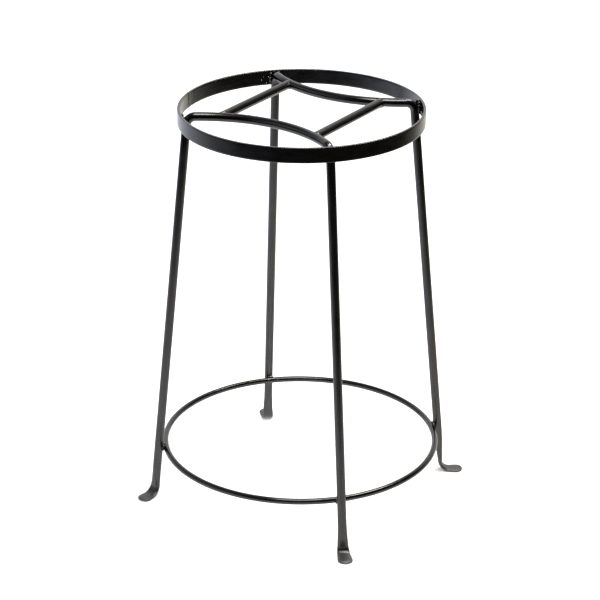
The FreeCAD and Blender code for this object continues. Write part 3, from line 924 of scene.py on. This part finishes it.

# The middle of the painted reflection pool is behind and left of the stand, in metres. Each stop is a
# distance from it and a level.
POOL_BEHIND = 1.3
POOL_LEFT = 0.35
POOL_SQUEEZE = 1.25
POOL_FROM, POOL_TO = 1.0, 3.0
POOL_STOPS = (
    (1.0, 1.2), (1.5, 1.08), (1.74, 0.96), (1.88, 0.84), (1.99, 0.66), (2.1, 0.45), (2.2, 0.26),
    (2.3, 0.1), (2.4, 0.03), (2.5, 0.006), (2.6, 0.006), (2.75, 0.03), (3.0, 0.03),
)


FLOOR_REACH = 9.0


def make_floor():
    material = bpy.data.materials.new("pale_floor")
    n = Nodes(material)
    position = n.add("ShaderNodeNewGeometry").outputs["Position"]
    nearer = n.part_along(position, TOWARDS_CAMERA)
    sideways = n.part_along(position, TO_THE_RIGHT)
    deep = n.math("ADD", nearer, POOL_BEHIND)
    wide = n.math("MULTIPLY", n.math("ADD", sideways, POOL_LEFT), POOL_SQUEEZE)
    squares = n.math("ADD", n.math("MULTIPLY", deep, deep), n.math("MULTIPLY", wide, wide))
    fade = n.add("ShaderNodeValToRGB", Fac=n.span(n.math("SQRT", squares, 0.0), POOL_FROM, POOL_TO))
    ramp = fade.color_ramp
    ramp.elements[0].position = 0.0
    ramp.elements[0].color = grey(POOL_STOPS[0][1])
    ramp.elements[1].position = 1.0
    ramp.elements[1].color = grey(POOL_STOPS[-1][1])
    for distance, level in POOL_STOPS[1:-1]:
        ramp.elements.new((distance - POOL_FROM) / (POOL_TO - POOL_FROM)).color = grey(level)
    side_tint = n.mix(n.span(sideways, -0.7, 0.7), (0.93, 0.98, 1.12, 1), (1.06, 1.0, 0.9, 1))
    # Painted reflection: only glossy rays see the floor glow with this pool, tinted bluish on the left and
    # warm on the right; no lamp lights it.
    painted_pool_reflection = n.mix(1.0, fade.outputs[0], side_tint, "MULTIPLY")
    mirrored = n.add("ShaderNodeEmission", Color=painted_pool_reflection, Strength=1.0)
    grain = n.noise(position, (9.0, 9.0, 9.0), 3.0)
    paper = n.mix(grain, (0.9, 0.9, 0.9, 1), (0.925, 0.925, 0.925, 1))
    matt = n.add("ShaderNodeBsdfDiffuse", Color=paper)
    glossy = n.add("ShaderNodeLightPath").outputs["Is Glossy Ray"]
    both = n.add("ShaderNodeMixShader", _0=glossy, _1=matt.outputs[0], _2=mirrored.outputs[0])
    n.add("ShaderNodeOutputMaterial", Surface=both.outputs[0])
    material.cycles.emission_sampling = "NONE"
    mesh = bpy.data.meshes.new("floor")
    corners = [(x * FLOOR_REACH, y * FLOOR_REACH, 0) for x, y in ((-1, -1), (1, -1), (1, 1), (-1, 1))]
    mesh.from_pydata(corners, [], [(0, 1, 2, 3)])
    floor = bpy.data.objects.new("floor", mesh)
    bpy.context.collection.objects.link(floor)
    floor.data.materials.append(material)


make_floor()


def make_world():
    world = bpy.data.worlds.new("studio")
    bpy.context.scene.world = world
    n = Nodes(world)
    direction = n.add("ShaderNodeTexCoord").outputs["Generated"]
    front = n.part_along(direction, TOWARDS_CAMERA)
    side = n.part_along(direction, TO_THE_RIGHT)
    rise = n.part_along(direction, UP)

    def fade_in(value, low, high, level):
        eased = {"interpolation_type": "SMOOTHSTEP"}
        return n.add("ShaderNodeMapRange", eased, _0=value, _1=low, _2=high, _3=0.0, _4=level).outputs[0]

    back_wall = fade_in(front, -0.35, -0.85, 1.0)
    left_wall = fade_in(side, -0.55, -0.95, 0.4)
    right_wall = fade_in(side, 0.75, 0.98, 0.05)
    walls = n.math("ADD", n.math("ADD", back_wall, left_wall), n.math("ADD", right_wall, 0.015))
    level = n.math("ADD", walls, fade_in(rise, 0.6, 0.95, 0.12))
    tint = n.mix(n.span(side, -0.9, 0.9), (0.93, 0.98, 1.1, 1), (1.06, 1.0, 0.91, 1))
    mirrored = n.add("ShaderNodeLightPath").outputs["Is Glossy Ray"]
    colour = n.mix(mirrored, (1, 1, 1, 1), tint)
    power = n.add("ShaderNodeMix", {"data_type": "FLOAT"}, _0=mirrored, _2=1.3, _3=level).outputs[0]
    light = n.add("ShaderNodeBackground", Color=colour, Strength=power)
    n.add("ShaderNodeOutputWorld", Surface=light.outputs[0])
    world.cycles.sampling_method = "NONE"


make_world()


def add_softbox(name, place_at, look_at, width, depth, power, colour):
    light = bpy.data.lights.new(name, "AREA")
    light.shape = "RECTANGLE"
    light.size = width
    light.size_y = depth
    light.energy = power
    light.color = colour
    lamp = bpy.data.objects.new(name, light)
    bpy.context.collection.objects.link(lamp)
    lamp.location = place_at
    aim = Vector(look_at) - Vector(place_at)
    lamp.rotation_euler = aim.to_track_quat("-Z", "Y").to_matrix().to_euler()


overhead_at = TOWARDS_CAMERA * 0.35 + UP * 2.1
add_softbox("overhead_softbox", overhead_at, (0, 0, 0.4), 0.7, 0.9, 15.0, (1.0, 1.0, 1.0))

behind_at = TO_THE_RIGHT * 0.84 - TOWARDS_CAMERA * 0.52 + UP * 2.43
add_softbox("behind_softbox", behind_at, (0, 0, 0.25), 0.5, 1.15, 34.0, (1.0, 0.99, 0.97))

bpy.context.scene.view_settings.view_transform = "Standard"
bpy.context.scene.view_settings.look = "None"
